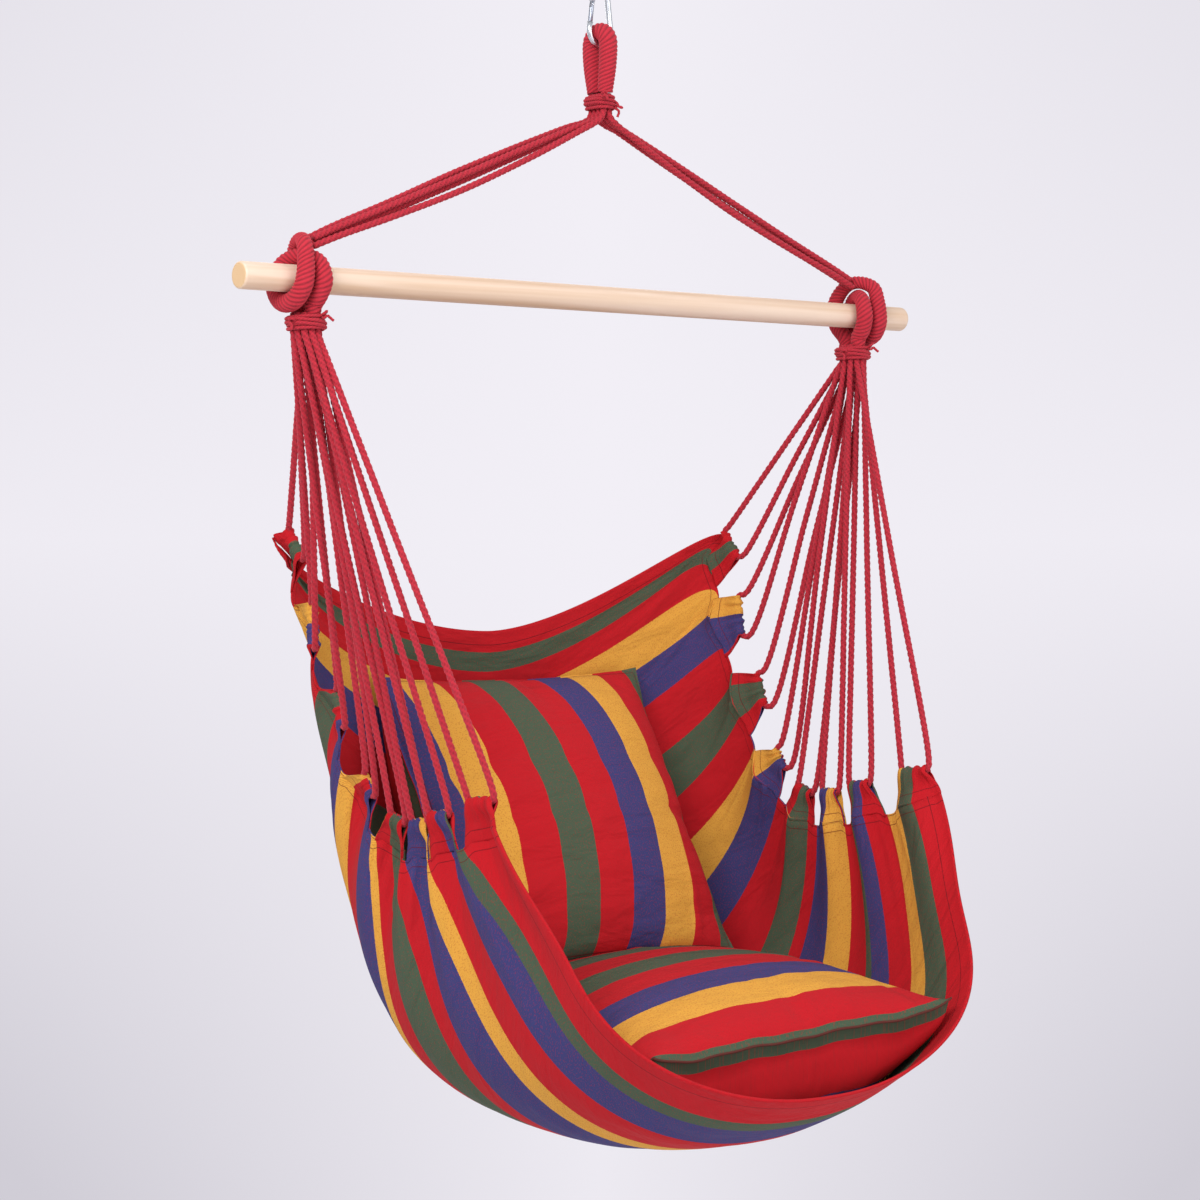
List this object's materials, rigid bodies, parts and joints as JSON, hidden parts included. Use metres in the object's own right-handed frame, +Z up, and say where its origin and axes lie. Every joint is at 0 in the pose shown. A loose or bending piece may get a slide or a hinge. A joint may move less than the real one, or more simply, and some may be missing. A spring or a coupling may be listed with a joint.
{
  "type": "hammock chair",
  "caption": "Hanging hammock chair: a striped cloth sling on gathered cords, a wooden spreader bar, a rope bridle with a snap hook, and seat and back cushions.",
  "frame": {"origin": "where the snap hook bears on what carries it: the inside of its top bend", "axes": "+Z up, +X along the spreader bar, the front of the seat faces -Y"},
  "size_m": [1, 0.6105, 1.3323],
  "materials": {
    "steel": "bright zinc plated wire",
    "rope": "twisted red cotton cord",
    "wood": "pale sanded pine dowel",
    "striped_cloth": "matt cotton twill with red, green, yellow and blue stripes",
    "cushion_cloth": "matt cotton twill with red, green, yellow and blue stripes",
    "filling": "white loose polyester fibre"
  },
  "bodies": {
    "hook": {"snap_hook_body": "steel", "snap_hook_gate_pin": "steel"},
    "gate": {"snap_hook_gate": "steel", "snap_hook_gate_spring": "steel"},
    "chair": {"top_eye": "rope", "top_whipping": "rope", "left_bridle_cord_1": "rope", "left_bridle_cord_2": "rope", "left_bridle_cord_3": "rope", "left_bridle_cord_4": "rope", "right_bridle_cord_1": "rope", "right_bridle_cord_2": "rope", "right_bridle_cord_3": "rope", "right_bridle_cord_4": "rope", "left_clew_eye": "rope", "left_clew_whipping": "rope", "right_clew_eye": "rope", "right_clew_whipping": "rope", "left_seat_cord_1": "rope", "left_seat_cord_2": "rope", "left_seat_cord_3": "rope", "left_seat_cord_4": "rope", "left_seat_cord_5": "rope", "left_seat_cord_6": "rope", "left_seat_cord_7": "rope", "left_seat_cord_8": "rope", "right_seat_cord_1": "rope", "right_seat_cord_2": "rope", "right_seat_cord_3": "rope", "right_seat_cord_4": "rope", "right_seat_cord_5": "rope", "right_seat_cord_6": "rope", "right_seat_cord_7": "rope", "right_seat_cord_8": "rope", "sling": "striped_cloth"},
    "bar": {"spreader_bar": "wood"},
    "seat_cushion": {"seat_cushion_cover": "cushion_cloth", "seat_cushion_filling": "filling"},
    "back_cushion": {"back_cushion_cover": "cushion_cloth", "back_cushion_filling": "filling"}
  },
  "joints": [
    {"name": "chair_swing", "type": "hinge", "parent": "hook", "child": "chair", "pos_m": [0, 0, -0.0735], "axis": [1, 0, 0], "range_deg": [-30, 30]},
    {"name": "gate_hinge", "type": "hinge", "parent": "hook", "child": "gate", "pos_m": [-0.01232, 0, -0.0276], "axis": [0, -1, 0], "range_deg": [0, 15], "stiffness_Nm_per_rad": 0.05, "springref_deg": -20.05},
    {"name": "bar_roll", "type": "hinge", "parent": "chair", "child": "bar", "pos_m": [0, 0, -0.37], "axis": [1, 0, 0], "continuous": true},
    {"name": "seat_cushion_lift", "type": "slide", "parent": "chair", "child": "seat_cushion", "axis": [0, -0.5, 0.866], "range_m": [0, 0.15]},
    {"name": "back_cushion_lift", "type": "slide", "parent": "seat_cushion", "child": "back_cushion", "axis": [0, -0.5, 0.866], "range_m": [0, 0.15]}
  ]
}
